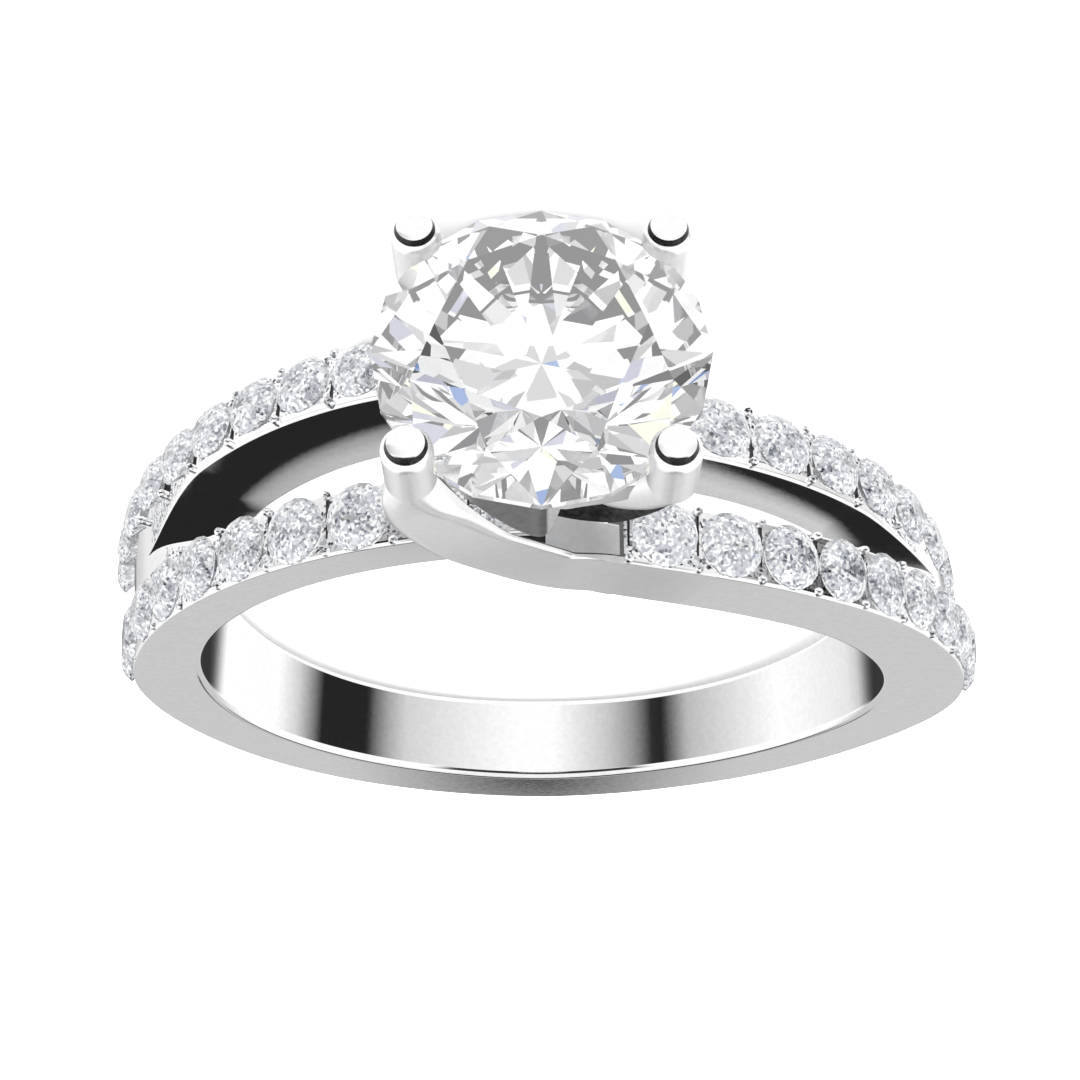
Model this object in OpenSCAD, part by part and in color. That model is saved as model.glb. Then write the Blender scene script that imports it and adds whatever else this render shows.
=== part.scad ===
// Diamond ring: bypass shank with split shoulders, a four prong head
// with one round brilliant and four rows of small round brilliants.
// All lengths in millimetres. The ring is drawn upright, finger axis
// along Y and head up, then laid on its side in its rest pose.

/* [Finger] */
// finger hole diameter, US size 6 1/2
finger_d = 17.0; // [15:0.1:21]

/* [Shoulder strands] */
// width of the wide strand, front right and back left
wide_w = 1.42; // [1.3:0.02:1.7]
// width of the narrow strand, front left and back right
narrow_w = 1.46; // [1.3:0.02:1.7]
// outward lean of the strand walls, run over rise
wall_lean = 0.093; // [0:0.005:0.15]
// angle above the side where the shank splits
split_angle = 24; // [18:1:30]
// angle over which the gap reaches its full width
split_run = 20; // [10:1:30]
// edge break along the strand rims
rim_break = 0.07; // [0.03:0.01:0.15]
// edge break on the plain lower band
band_break = 0.16; // [0.05:0.01:0.3]
// depth of the plain step at the end of each wide strand
step_depth = 0.40; // [0.2:0.05:0.8]
// how much narrower the strand is past that step
step_in = 0.45; // [0:0.05:0.6]

/* [Small stones] */
// girdle diameter of the stones on the wide strands
wide_d = 1.36; // [1.2:0.02:1.4]
// girdle diameter of the stones on the narrow strands
narrow_d = 1.46; // [1.2:0.02:1.5]
// stones on each wide strand
wide_count = 10; // [7:1:10]
// stones on each narrow strand
narrow_count = 9; // [7:1:9]
// height of the girdles over the strand top
melee_rise = 0.12; // [0.06:0.01:0.2]
// radius of the shared claws between the stones
claw_r = 0.125; // [0.1:0.005:0.2]
// height of the shared claws over the strand top
claw_rise = 0.17; // [0.1:0.01:0.35]

/* [Centre stone] */
// girdle diameter of the centre stone
centre_d = 6.20; // [5.8:0.05:6.6]
// height of its girdle over the finger axis
centre_z = 13.90; // [13.4:0.05:14.6]

/* [Cut of the stones] */
// table width over girdle diameter
cut_table = 0.57; // [0.5:0.01:0.65]
// crown height over girdle diameter
cut_crown = 0.150; // [0.12:0.005:0.18]
// girdle thickness over girdle diameter
cut_girdle = 0.025; // [0.01:0.005:0.05]
// pavilion depth over girdle diameter
cut_pavilion = 0.430; // [0.4:0.005:0.46]
// clearance between a stone and its seat
seat_gap = 0.03; // [0.02:0.005:0.06]

/* [Head] */
// half spacing of the four prongs
prong_a = 2.32; // [2.2:0.01:2.6]
// prong radius
prong_r = 0.45; // [0.35:0.01:0.6]
// height of the prong tips over the finger axis
prong_tip = 14.62; // [14:0.02:15.4]
// rail thickness of the gallery between the prongs
rail_t = 0.26; // [0.2:0.01:0.4]

/* [Rest pose] */
// tilt that raises the head, the centre stone and the band touch down
rest_pitch = -4.32; // [-15:0.01:15]
// tilt to one side, one shoulder touches down
rest_roll = 0.61; // [-10:0.01:10]
// shift of the finger axis along the floor, mm
rest_shift = 2.063; // [0:0.001:10]
// height of the finger axis centre over the floor, mm
rest_height = 2.056; // [0:0.001:10]

/* [Hidden] */
finger_r = finger_d / 2;
under_r = finger_r - 0.3;
step_angle = 81.3;
wide_last = 89.5;
narrow_last = 97;
wide_start = 80.8;
wide_pitch = 7.66;
narrow_start = 81.5;
narrow_pitch = 9.05;
band_step = 4;
strand_step = 3.9;

// columns of the strand tables: angle from the side, wall offset, top radius
ANGLE = 0; WALL = 1; TOP = 2;
wide_strand = [
  [-90, 1.26, 10.75], [-60, 1.22, 10.68], [-30, 1.36, 10.58], [0, 1.78, 10.50],
  [20, 2.06, 10.44], [40, 2.29, 10.43], [60, 2.50, 10.50], [78, 2.48, 10.58],
  [90, 2.20, 10.56], [97, 1.92, 10.50]];
narrow_strand = [
  [-90, 1.26, 10.75], [-60, 1.24, 10.68], [-30, 1.28, 10.50], [0, 1.37, 10.30],
  [20, 1.49, 10.02], [40, 1.58, 9.88], [60, 1.62, 9.85], [80, 1.62, 9.90],
  [92, 1.55, 9.90], [97, 1.50, 9.90]];

// columns of the swirl table: centre x, y, z, half height, half thickness, squareness
swirl_rows = [
  [2.60, -2.51, 9.22, 0.98, 0.07, 0.95], [1.40, -2.45, 9.42, 1.06, 0.08, 0.95],
  [0.35, -2.26, 9.52, 1.07, 0.11, 0.90], [-0.52, -2.06, 9.75, 0.92, 0.24, 0.75],
  [-1.18, -1.98, 10.12, 0.80, 0.38, 0.55], [-1.68, -2.05, 10.72, 0.67, 0.43, 0.35],
  [-2.03, -2.16, 11.42, 0.57, 0.46, 0.20], [-2.24, -2.26, 12.20, 0.49, 0.46, 0.10],
  [-2.31, -2.31, 13.00, 0.45, 0.45, 0.0]];

// stem path of the plain prongs: centre x, y, z, radius
stem_rows = [
  [0.45, -0.45, 10.20, 0.38], [0.92, -0.95, 10.75, 0.40], [1.42, -1.46, 11.45, 0.42],
  [1.88, -1.91, 12.30, 0.44], [2.27, -2.27, 13.30, 0.44]];

function hold(v, lo, hi) = min(hi, max(lo, v));
function blend(t) = let (u = hold(t, 0, 1)) u * u * (3 - 2 * u);
function slope(tab, i, c) = let (n = len(tab), p = max(0, i - 1), q = min(n - 1, i + 1))
  (tab[q][c] - tab[p][c]) / (tab[q][ANGLE] - tab[p][ANGLE]);
// smooth value of column c at angle a
function at(tab, a, c) = let (
  i = hold(len([for (r = tab) if (r[ANGLE] <= a) 1]) - 1, 0, len(tab) - 2),
  h = tab[i + 1][ANGLE] - tab[i][ANGLE], t = (a - tab[i][ANGLE]) / h,
  m0 = slope(tab, i, c) * h, m1 = slope(tab, i + 1, c) * h)
  (2*t*t*t - 3*t*t + 1) * tab[i][c] + (t*t*t - 2*t*t + t) * m0
  + (3*t*t - 2*t*t*t) * tab[i + 1][c] + (t*t*t - t*t) * m1;

// lean grows from none on the plain band to its full value on the strands
function lean(a) = wall_lean * blend((a + 30) / 60);
function wall(tab, a, r) = at(tab, a, WALL) + lean(a) * (r - finger_r);
function wide_top(a) = at(wide_strand, a, TOP)
  - (a > step_angle ? step_depth : 0);
function top(tab, a, wide) = wide ? wide_top(a) : at(tab, a, TOP);
function ring_point(a, y, r) = [r * cos(a), y, r * sin(a)];

// middle of the band top, where the two strands meet
function seam_y(a) = (at(narrow_strand, a, WALL) - at(wide_strand, a, WALL)) / 2;
function seam_r(a) = (at(narrow_strand, a, TOP) + at(wide_strand, a, TOP)) / 2;

// side faces between two sections, p and q list their points in turn
function skin(p, q) = let (m = len(p)) [for (j = [0:m - 1], k = [0, 1])
  let (a = p[j], b = p[(j + 1) % m], c = q[j], d = q[(j + 1) % m])
  if (k == 1 || a != b) k == 0 ? [a, b, d] : [a, d, c]];
function ids(start, m) = [for (j = [0:m - 1]) start + j];
function tube(start, m, n) = [for (i = [0:n - 2])
  each skin(ids(start + i * m, m), ids(start + (i + 1) * m, m))];

module loft(rings) {
  n = len(rings); m = len(rings[0]);
  polyhedron(points = [for (r = rings) each r], convexity = 6, faces = concat(
    [[for (j = [m - 1:-1:0]) j]], [ids((n - 1) * m, m)], tube(0, m, n)));
}

// plain band from the bottom to the split, both walls in one section
function band_ring(a) = let (
  e = band_break + (rim_break - band_break) * blend((a + 20) / 20),
  rf = at(wide_strand, a, TOP), rb = at(narrow_strand, a, TOP))
  [ring_point(a, -wall(wide_strand, a, under_r), under_r),
   ring_point(a, seam_y(a), under_r),
   ring_point(a, wall(narrow_strand, a, under_r), under_r),
   ring_point(a, wall(narrow_strand, a, rb - e), rb - e),
   ring_point(a, wall(narrow_strand, a, rb) - e, rb),
   ring_point(a, seam_y(a), seam_r(a)),
   ring_point(a, -wall(wide_strand, a, rf) + e, rf),
   ring_point(a, -wall(wide_strand, a, rf - e), rf - e)];

// one strand above the split, s = -1 for the front wall and 1 for the back
function strand_ring(tab, a, wide) = let (
  s = wide ? -1 : 1, e = rim_break, t = blend((a - split_angle) / split_run),
  r = top(tab, a, wide), ri = seam_r(a) * (1 - t) + r * t,
  w = wide ? wide_w - (a > step_angle ? step_in : 0) : narrow_w,
  yo = s * wall(tab, a, r), yu = s * wall(tab, a, under_r),
  yi = seam_y(a) * (1 - t) + (yo - s * w) * t,
  yj = seam_y(a) * (1 - t) + (yu - s * w) * t,
  q = [ring_point(a, yj, under_r), ring_point(a, yu, under_r),
    ring_point(a, s * wall(tab, a, r - e), r - e), ring_point(a, yo - s * e, r),
    ring_point(a, yi + s * e * t, ri), ring_point(a, yi, ri - e * t)])
  wide ? [for (k = [5:-1:0]) q[k]] : q;

// half of the shank: plain band from the bottom, then a fork into two strands
module shank_half() {
  nb = ceil((split_angle + 90) / band_step);
  nw = ceil((step_angle - split_angle) / strand_step);
  nn = ceil((narrow_last - split_angle) / strand_step);
  band = [for (k = [0:nb]) band_ring(-90 + (split_angle + 90) * k / nb)];
  wide = [for (a = concat([for (k = [1:nw]) split_angle + (step_angle - split_angle) * k / nw],
    [step_angle + 0.2, (step_angle + wide_last) / 2, wide_last])) strand_ring(wide_strand, a, true)];
  narrow = [for (k = [1:nn])
    strand_ring(narrow_strand, split_angle + (narrow_last - split_angle) * k / nn, false)];
  fork = 8 * nb; w0 = fork + 8; n0 = w0 + 6 * len(wide);
  polyhedron(points = [for (g = [band, wide, narrow], r = g) each r], convexity = 6,
    faces = concat([[for (j = [7:-1:0]) j]], tube(0, 8, nb + 1),
      skin([for (j = [5, 5, 6, 7, 0, 1]) fork + j], ids(w0, 6)), tube(w0, 6, len(wide)),
      [ids(n0 - 6, 6)],
      skin([for (j = [1, 2, 3, 4, 5, 5]) fork + j], ids(n0, 6)), tube(n0, 6, len(narrow)),
      [ids(n0 + 6 * len(narrow) - 6, 6)]));
}

// section of the swirl, from a flat wall to a round prong
function swirl_ring(p, dir, hh, ht, sq) = [for (k = [0:15]) let (
  c = cos(22.5 * k), s = sin(22.5 * k), f = 1 / max(abs(c), abs(s)),
  g = 1 + (f - 1) * sq)
  [p[0] - dir[1] * c * g * hh, p[1] + s * g * ht + wall_lean * sq * c * g * hh,
    p[2] + dir[0] * c * g * hh]];
function row_dir(t, i) = let (n = len(t) - 1, p = t[max(0, i - 1)], q = t[min(n, i + 1)],
  d = [q[0] - p[0], q[2] - p[2]]) d / norm(d);
function mix_row(t, u) = let (i = hold(floor(u), 0, len(t) - 2), f = u - i,
  p = t[max(0, i - 1)], a = t[i], b = t[i + 1], q = t[min(len(t) - 1, i + 2)])
  a * (1 - f) * (1 - f) * (1 + 2 * f) + b * f * f * (3 - 2 * f)
  + (b - p) / 2 * f * (1 - f) * (1 - f) - (q - a) / 2 * f * f * (1 - f);

// domed tip over a round prong, sections up to the tip
function tip_rings(x, y) = [for (t = [14, 34, 54, 72])
  let (z = prong_tip - prong_r * 0.80 * (1 - sin(t)), r = prong_r * cos(t))
  [for (j = [0:15]) [x + r * cos(22.5 * j), y - r * sin(22.5 * j), z]]];

module swirl() {
  n = 2 * (len(swirl_rows) - 1);
  path = [for (k = [0:n]) mix_row(swirl_rows, k / 2)];
  body = [for (k = [0:n]) let (q = path[k])
    swirl_ring([q[0], q[1], q[2]], row_dir(path, k), q[3], q[4], q[5])];
  loft(body);
  prong_top(-prong_a, -prong_a, 12.7);
}

// upper end of a prong with its domed tip
module prong_top(x, y, z0) {
  straight = [for (z = [z0, prong_tip - prong_r * 0.85])
    [for (j = [0:15]) [x + prong_r * cos(22.5 * j), y - prong_r * sin(22.5 * j), z]]];
  loft(concat(straight, tip_rings(x, y)));
}

function stem_ring(p, d, r) = let (u = cross([1, 1, 0] / norm([1, 1, 0]), d), v = cross(d, u))
  [for (j = [0:11]) p + u / norm(u) * r * cos(30 * j) - v / norm(v) * r * sin(30 * j)];

module stem() {
  n = 2 * (len(stem_rows) - 1);
  path = [for (k = [0:n]) mix_row(stem_rows, k / 2)];
  pos = [for (q = path) [q[0], q[1], q[2]]];
  loft([for (k = [0:n]) let (d = pos[min(n, k + 1)] - pos[max(0, k - 1)])
    stem_ring(pos[k], d / norm(d), path[k][3])]);
  prong_top(prong_a, -prong_a, 13.2);
}

// gallery rail, high at the prongs and low between them
function rail_point(a) = let (dip = pow(cos(2 * a), 2),
  r = 2.62 - 0.62 * dip, z = 12.50 - 0.80 * dip) [r * cos(a), r * sin(a), z];
module gallery() {
  n = 48; m = 6;
  pts = [for (k = [0:n - 1]) let (a = 360 * k / n, c = rail_point(a))
    for (j = [0:m - 1]) let (b = 60 * j + 30)
      c + [cos(a) * rail_t * cos(b), sin(a) * rail_t * cos(b), 1.3 * rail_t * sin(b)]];
  polyhedron(points = pts, convexity = 6, faces = [
    for (i = [0:n - 1], j = [0:m - 1], k = [0, 1])
      let (p = i * m + j, q = i * m + (j + 1) % m, r = ((i + 1) % n) * m + j,
        s = ((i + 1) % n) * m + (j + 1) % m)
      k == 0 ? [p, q, s] : [p, s, r]]);
}

// base under the head, tied to both strands by a saddle and two blocks
module head_base() {
  translate([0, 0, 9.6]) cylinder(r1 = 0.95, r2 = 0.75, h = 1.1, $fn = 16);
  translate([-0.75, -1.95, under_r]) cube([1.5, 3.9, 9.7 - under_r]);
  both_sides() translate([0, -1.86, 0]) rotate([90, 0, 0]) linear_extrude(0.38)
    polygon([[-1.5, 9.9], [0.0, 9.9], [0.1, 10.35], [0.30, 11.6], [-1.4, 11.9]]);
}

// place a child at a row position: its z axis points out of the strand
module at_seat(tab, a, wide, rise) {
  s = wide ? -1 : 1;
  r = at(tab, a, TOP) + rise;
  y = s * (wall(tab, a, r) - (wide ? wide_w : narrow_w) / 2);
  da = at(tab, a + 1, TOP) - at(tab, a - 1, TOP);
  rotate([0, -a, 0]) translate([r, y, 0]) rotate([0, 0, s * atan(lean(a))])
    rotate([0, atan(da / (r * 2 * PI / 180)), 0]) rotate([0, 90, 0]) children();
}

// angle of the separator before stone k, counted down from the head
function sep(k, wide) = wide ? wide_start - wide_pitch * k : narrow_start - narrow_pitch * k;
function count(wide) = wide ? wide_count : narrow_count;
function seat_angle(k, wide) = (sep(k, wide) + sep(k + 1, wide)) / 2;

// points of a round brilliant of girdle diameter 1, girdle top at z = 0
function oct(r, z, a0) = [for (k = [0:7]) [r * cos(45 * k + a0), r * sin(45 * k + a0), z]];
module brilliant(d) {
  rt = cut_table / 2 / cos(22.5) * 0.98;
  rs = rt * cos(22.5) + 0.55 * (0.5 - rt * cos(22.5));
  zs = cut_crown * (1 - (rs * cos(22.5) - rt) / (0.5 - rt));
  rl = 0.12;
  zl = -cut_girdle - cut_pavilion * (0.5 - rl * cos(22.5)) / 0.5;
  pts = concat(oct(rt, cut_crown, 0), oct(rs, zs, 22.5),
    [for (k = [0:15]) [0.5 * cos(22.5 * k), 0.5 * sin(22.5 * k), 0]],
    [for (k = [0:15]) [0.5 * cos(22.5 * k), 0.5 * sin(22.5 * k), -cut_girdle]],
    oct(rl, zl, 22.5), [[0, 0, -cut_girdle - cut_pavilion]]);
  T = 0; S = 8; G = 16; H = 32; L = 48; C = 56;
  scale(d) polyhedron(points = pts, convexity = 2, faces = concat(
    [[for (k = [7:-1:0]) T + k]],
    [for (k = [0:7]) [T + k, T + (k + 1) % 8, S + k]],
    [for (k = [0:7]) [T + k, S + k, G + 2 * k, S + (k + 7) % 8]],
    [for (k = [0:7]) [S + k, G + 2 * k + 1, G + 2 * k]],
    [for (k = [0:7]) [S + k, G + (2 * k + 2) % 16, G + 2 * k + 1]],
    [for (k = [0:15]) [G + k, G + (k + 1) % 16, H + (k + 1) % 16, H + k]],
    [for (k = [0:7]) [L + k, H + 2 * k, H + 2 * k + 1]],
    [for (k = [0:7]) [L + k, H + 2 * k + 1, H + (2 * k + 2) % 16]],
    [for (k = [0:7]) [C, L + (k + 7) % 8, H + 2 * k, L + k]]));
}

// cutter for the seat of a small stone of girdle diameter d
module seat_cut(d) {
  r = d / 2 / cos(15) + seat_gap;
  depth = r * cut_pavilion / 0.5 + 0.02;
  translate([0, 0, -depth - cut_girdle * d]) rotate([0, 0, 15])
    cylinder(r1 = 0, r2 = r, h = depth, $fn = 12);
}

module row_claws(tab, wide) {
  out = (wide ? wide_w : narrow_w) / 2 - claw_r - 0.01;
  for (k = [0:count(wide)], s = [-1, 1]) at_seat(tab, sep(k, wide), wide, 0)
    translate([0, s * out, -0.2])
      cylinder(r1 = claw_r, r2 = claw_r * 0.75, h = 0.2 + claw_rise, $fn = 6);
}

module row_seats(tab, wide) {
  for (k = [0:count(wide) - 1])
    at_seat(tab, seat_angle(k, wide), wide, melee_rise) seat_cut(wide ? wide_d : narrow_d);
}

module half_metal() {
  shank_half();
  swirl();
  stem();
  row_claws(wide_strand, true);
  row_claws(narrow_strand, false);
}

module both_sides() {
  for (t = [0, 180]) rotate([0, 0, t]) children();
}

// lay the upright ring on its side, head towards -Y
module rest() {
  translate([0, rest_shift, rest_height]) rotate([rest_pitch, rest_roll, 0])
    rotate([0, 180, 0]) rotate([90, 0, 0]) children();
}

module ring_metal() {
  color([0.82, 0.83, 0.85]) rest() difference() {
    resize([0, 0, 0]) difference() {
      union() {
        both_sides() half_metal();
        gallery();
        head_base();
      }
      both_sides() { row_seats(wide_strand, true); row_seats(narrow_strand, false); }
      translate([0, 0, centre_z]) brilliant_seat();
    }
    rotate([90, 0, 0]) cylinder(r = finger_r, h = 12, center = true, $fn = 180);
  }
}

module brilliant_seat() {
  translate([0, 0, seat_gap]) scale([1 + 2.4 * seat_gap / centre_d, 1 + 2.4 * seat_gap / centre_d, 1])
    brilliant(centre_d);
  scale([1 + 2.4 * seat_gap / centre_d, 1 + 2.4 * seat_gap / centre_d, 1 + 2 * seat_gap / centre_d])
    brilliant(centre_d);
}

module centre_diamond() {
  color([0.93, 0.96, 1.0, 0.8]) rest() translate([0, 0, centre_z]) brilliant(centre_d);
}

module small_diamond(tab, wide, turn, k) {
  color([0.93, 0.96, 1.0, 0.8]) rest() rotate([0, 0, turn])
    at_seat(tab, seat_angle(k, wide), wide, melee_rise) brilliant(wide ? wide_d : narrow_d);
}

// rows: name, wide strand or narrow, turn about the head axis
rows = [["front_right", true, 0], ["back_right", false, 0],
  ["back_left", true, 180], ["front_left", false, 180]];
function stone_name(row, k) = str(row[0], "_diamond_", k + 1);

ring_metal();
centre_diamond();
for (row = rows, k = [0:count(row[1]) - 1])
  small_diamond(row[1] ? wide_strand : narrow_strand, row[1], row[2], k);
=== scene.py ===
import math
from math import cos, radians, sin

import bmesh
import bpy
import numpy as np
from mathutils import Matrix, Vector


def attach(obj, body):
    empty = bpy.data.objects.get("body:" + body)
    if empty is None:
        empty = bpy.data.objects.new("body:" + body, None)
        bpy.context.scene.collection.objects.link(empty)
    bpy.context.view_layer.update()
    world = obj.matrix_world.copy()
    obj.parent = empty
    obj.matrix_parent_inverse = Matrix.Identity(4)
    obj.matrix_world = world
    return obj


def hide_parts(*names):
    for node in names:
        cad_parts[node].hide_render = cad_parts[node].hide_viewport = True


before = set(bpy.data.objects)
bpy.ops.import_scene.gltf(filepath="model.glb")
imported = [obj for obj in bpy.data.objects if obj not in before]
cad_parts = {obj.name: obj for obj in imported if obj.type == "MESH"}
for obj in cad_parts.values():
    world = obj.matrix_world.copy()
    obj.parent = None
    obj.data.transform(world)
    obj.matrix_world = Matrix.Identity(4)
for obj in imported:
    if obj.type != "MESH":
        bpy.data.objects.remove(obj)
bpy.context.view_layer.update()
MM = 0.001

# Driving sizes in millimetres and degrees. The ring is described upright, as in
# its source: finger axis along Y, head up along Z. RING_TO_ROW lays it down.
# Angles on the shank count from its side: 90 at the head, -90 at the bottom.

# Shank: strands, their lean and the fork
FINGER_R = 8.5
WIDE_W = 1.42
NARROW_W = 1.46
WALL_LEAN = 0.093
LEAN_FROM = -30.0
LEAN_RUN = 60.0
BOTTOM_ANGLE = -90.0
SPLIT_ANGLE = 24.0
SPLIT_RUN = 20.0
NARROW_LAST = 97.0

# Plain step between the last stone of a wide strand and the head
STEP_ANGLE = 81.3
STEP_OVERLAP = 1.0
STEP_DEPTH = 0.40
STEP_IN = 0.45
STEP_BEHIND = 0.03
STEP_ROUND = (0.05, 0.02, 0.02, 0.05)
WIDE_LAST = 89.5

# Edges: their rounding, the flat strips beside them and the bow of inner walls
RIM_ROUND = 0.07
RIM_SHARE = 0.3
BAND_ROUND = 0.22
BAND_ROUND_FROM = -20.0
BAND_ROUND_RUN = 30.0
BORE_ROUND = 0.05
BORE_EDGE = 0.20
RIM_STRIP = 0.12
INNER_STRIP = 0.20
WIDE_BOW = 0.055
NARROW_BOW = 0.022
BOW_POINTS = 6

# Swirl: the plate it starts as, and path rows over which the strand becomes it
PLATE_T = 0.16
PLATE_ROUND = 0.075
PLATE_BACK = 0.07
SWIRL_BLEND = 0.9

# Angles from which a strand's top is cut for stones and its outer wall is soft
WIDE_CUT_FROM = 26.0
NARROW_CUT_FROM = 30.0
SOFT_WALL_FROM = 70.0

# Rows of small stones
WIDE_D = 1.36
NARROW_D = 1.46
WIDE_COUNT = 10
NARROW_COUNT = 9
WIDE_START = 80.8
WIDE_PITCH = 7.66
NARROW_START = 81.5
NARROW_PITCH = 9.05
STONE_RISE = 0.12

# Stone proportions over the girdle diameter, and the cutters of the seats
CUT_GIRDLE = 0.025
CUT_PAVILION = 0.43
SEAT_GAP = 0.02
SEAT_DEEPER = 0.02
SEAT_CORNER = 15.0
CUTTER_SIDES = 24
CUTTER_TOP = 0.4

# Claws and bars between the stones, heights over the strand's top
CLAW_R = 0.095
CLAW_RISE = 0.17
CLAW_FOOT = -0.2
CLAW_INSET = 0.01
CLAW_SIDES = 12
CLAW_STEPS = 4
CLAW_SWEEP = 85
CLAWS_FROM = 26.0
BAR_T = 0.045
BAR_RISE = 0.03
BAR_FOOT = -0.15
BAR_INSET = 0.02
BARS_FROM = 32.0

# Prongs: half spacing along X and Y, radius, tip, and where the upper ends start
PRONG_A = 2.32
PRONG_B = 2.25
PRONG_R = 0.47
PRONG_TIP = 14.62
SWIRL_PRONG_FROM = 13.28
STEM_PRONG_FROM = 13.2

# Cap of a prong: shoulder and a ring painted in dark shade, as depth under the tip and radius,
# then a dome
CAP_PROFILE = ((0.34, 0.47), (0.24, 0.455), (0.18, 0.42), (0.15, 0.38))
CAP_R = 0.335
CAP_RISE = 0.02
CAP_SPAN = 0.98
CAP_POWER = 4

# Gallery rail: reach and height at the prongs, and how much less between them
RAIL_T = 0.26
RAIL_TALL = 1.3
RAIL_REACH = 2.62
RAIL_PULL = 0.62
RAIL_TOP = 12.50
RAIL_DIP = 0.80

# Base under the head: height and radius
HEAD_BASE = ((9.6, 0.95), (10.3, 0.83), (10.7, 0.75))

# Turns and shifts that lay the upright ring on the floor as it comes to rest
REST_PITCH = -4.32
REST_ROLL = 0.61
REST_SHIFT = 2.063
REST_HEIGHT = 2.056

# Camera in the upright ring's axes
CAMERA_AT = (-0.026, -15.242, 38.463)
CAMERA_DOWN = 64.93
FOCAL_PX = 1593.2
FRAME_PX = 1080

# Studio: floor and lamp in metres, light on the floor, scale of the stones' sky
FLOOR_HALF = 3.0
FLOOR_LIGHT = 2.4
LAMP_AT = (0.0, -0.55, 0.32)
LAMP_SIZE = 0.5
LAMP_POWER = 3.0
STONE_CELLS = 7.0

# Roughness of polished faces and of the flat outer walls
POLISHED = 0.05
SATIN = 0.09

# The soft metal is less metallic higher up: heights, and its values there
SOFT_HEIGHTS = (9.8, 11.5)
SOFT_METALLIC = (0.945, 0.89)

# Tiny facets of small stones and cut metal: cells per metre, relief in metres,
# and colours of painted glints and shade with the share of the cells at which each starts
GLINT_SCALE = 16000.0
GLINT_RELIEF = 0.00004
CUT_RELIEF = 0.00003
PAINTED_GLINTS = (
    (0.00, (0.84, 0.84, 0.84)), (0.20, (0.47, 0.49, 0.53)), (0.48, (0.27, 0.29, 0.33)),
    (0.76, (0.84, 0.84, 0.84)), (0.85, (0.13, 0.14, 0.17)), (0.935, (0.035, 0.04, 0.06)))
# Colours of the cut metal: painted glints and shade.
PAINTED_CUT_GLINTS = (
    (0.00, (0.95, 0.95, 0.96)), (0.40, (0.55, 0.56, 0.58)), (0.62, (0.85, 0.86, 0.88)),
    (0.80, (0.25, 0.26, 0.28)), (0.93, (0.06, 0.06, 0.07)))
DIAMOND_IOR = 2.417
PAINTED_DIAMOND_GLOW = 0.02

# Fineness of the meshes
ANGLE_STEP = 1.5
ARC_STEPS = 5
PATH_STEPS = 8
PATH_NUDGE = 0.02
HALVINGS = 40
ROUND_STEPS = 12
ROUND_SIDES = 32
RAIL_STEPS = 48
RAIL_SIDES = 16
SHEET_STEPS = 4
TINY = 1e-6
MERGE_NEAR = 2e-7
COLLAPSED = 1e-9
SHARP_ANGLE = 32
NORMAL_WEIGHT = 90

# Strand tables, columns: angle from the side, wall offset, top radius
ANGLE, WALL, TOP = 0, 1, 2
WIDE_STRAND = np.array([
    [-90, 1.26, 10.75], [-60, 1.22, 10.68], [-30, 1.36, 10.58], [0, 1.78, 10.50],
    [20, 2.06, 10.44], [40, 2.29, 10.43], [60, 2.50, 10.50], [78, 2.48, 10.58],
    [90, 2.20, 10.56], [97, 1.92, 10.50]])
NARROW_STRAND = np.array([
    [-90, 1.26, 10.75], [-60, 1.24, 10.68], [-30, 1.28, 10.50], [0, 1.37, 10.30],
    [20, 1.49, 10.02], [40, 1.58, 9.88], [60, 1.62, 9.85], [80, 1.62, 9.90],
    [92, 1.55, 9.90], [97, 1.50, 9.90]])

# Swirl columns: centre x, y, z, half height, half thickness, squareness
SWIRL_ROWS = np.array([
    [2.60, -2.51, 9.22, 0.98, 0.07, 0.95], [1.40, -2.45, 9.42, 1.06, 0.08, 0.95],
    [0.33, -2.31, 9.45, 0.99, 0.09, 0.97], [-0.65, -2.25, 9.97, 0.96, 0.10, 0.95],
    [-1.36, -2.28, 10.63, 0.92, 0.11, 0.85], [-1.97, -2.32, 11.75, 0.82, 0.20, 0.65],
    [-2.25, -2.28, 12.55, 0.66, 0.38, 0.40], [-2.32, -2.25, 13.30, 0.47, 0.47, 0.0]])

# Stem columns: centre x, y, z, radius
STEM_ROWS = np.array([
    [0.45, -0.45, 10.20, 0.38], [0.92, -0.95, 10.75, 0.40], [1.42, -1.46, 11.45, 0.42],
    [1.90, -1.88, 12.30, 0.46], [2.32, -2.25, 13.30, 0.47]])

# Sheets under the stone, columns: x, y of the outer face, lower and upper edge
TONGUE_ROWS = np.array([
    [-2.30, -2.20, 12.45, 13.05], [-1.70, -1.93, 12.25, 12.90], [-1.35, -1.88, 11.55, 12.60],
    [-0.95, -1.88, 10.90, 12.35], [-0.50, -1.88, 10.30, 12.15], [-0.15, -1.88, 10.00, 12.05],
    [0.05, -1.88, 10.00, 12.00], [0.15, -1.88, 10.16, 12.00], [0.23, -1.88, 10.46, 12.00],
    [0.30, -1.88, 10.84, 12.00], [0.36, -1.88, 11.20, 12.00]])
RIBBON_ROWS = np.array([
    [2.45, -2.30, 12.90, 13.30], [1.94, -2.24, 12.56, 13.12], [1.45, -2.20, 12.19, 12.85],
    [0.79, -2.12, 11.80, 12.50], [0.35, -2.05, 11.55, 12.30], [-0.20, -1.80, 11.40, 12.00]])
APRON_ROWS = np.array([
    [2.55, -2.35, 12.60, 13.10], [2.13, -2.18, 11.70, 12.90], [1.53, -2.00, 10.90, 12.55],
    [0.93, -1.88, 10.68, 12.30], [0.32, -1.78, 10.70, 12.10], [-0.10, -1.65, 10.80, 12.0]])


def turned(axis, degrees):
    return Matrix.Rotation(radians(degrees), 4, axis)


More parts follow.
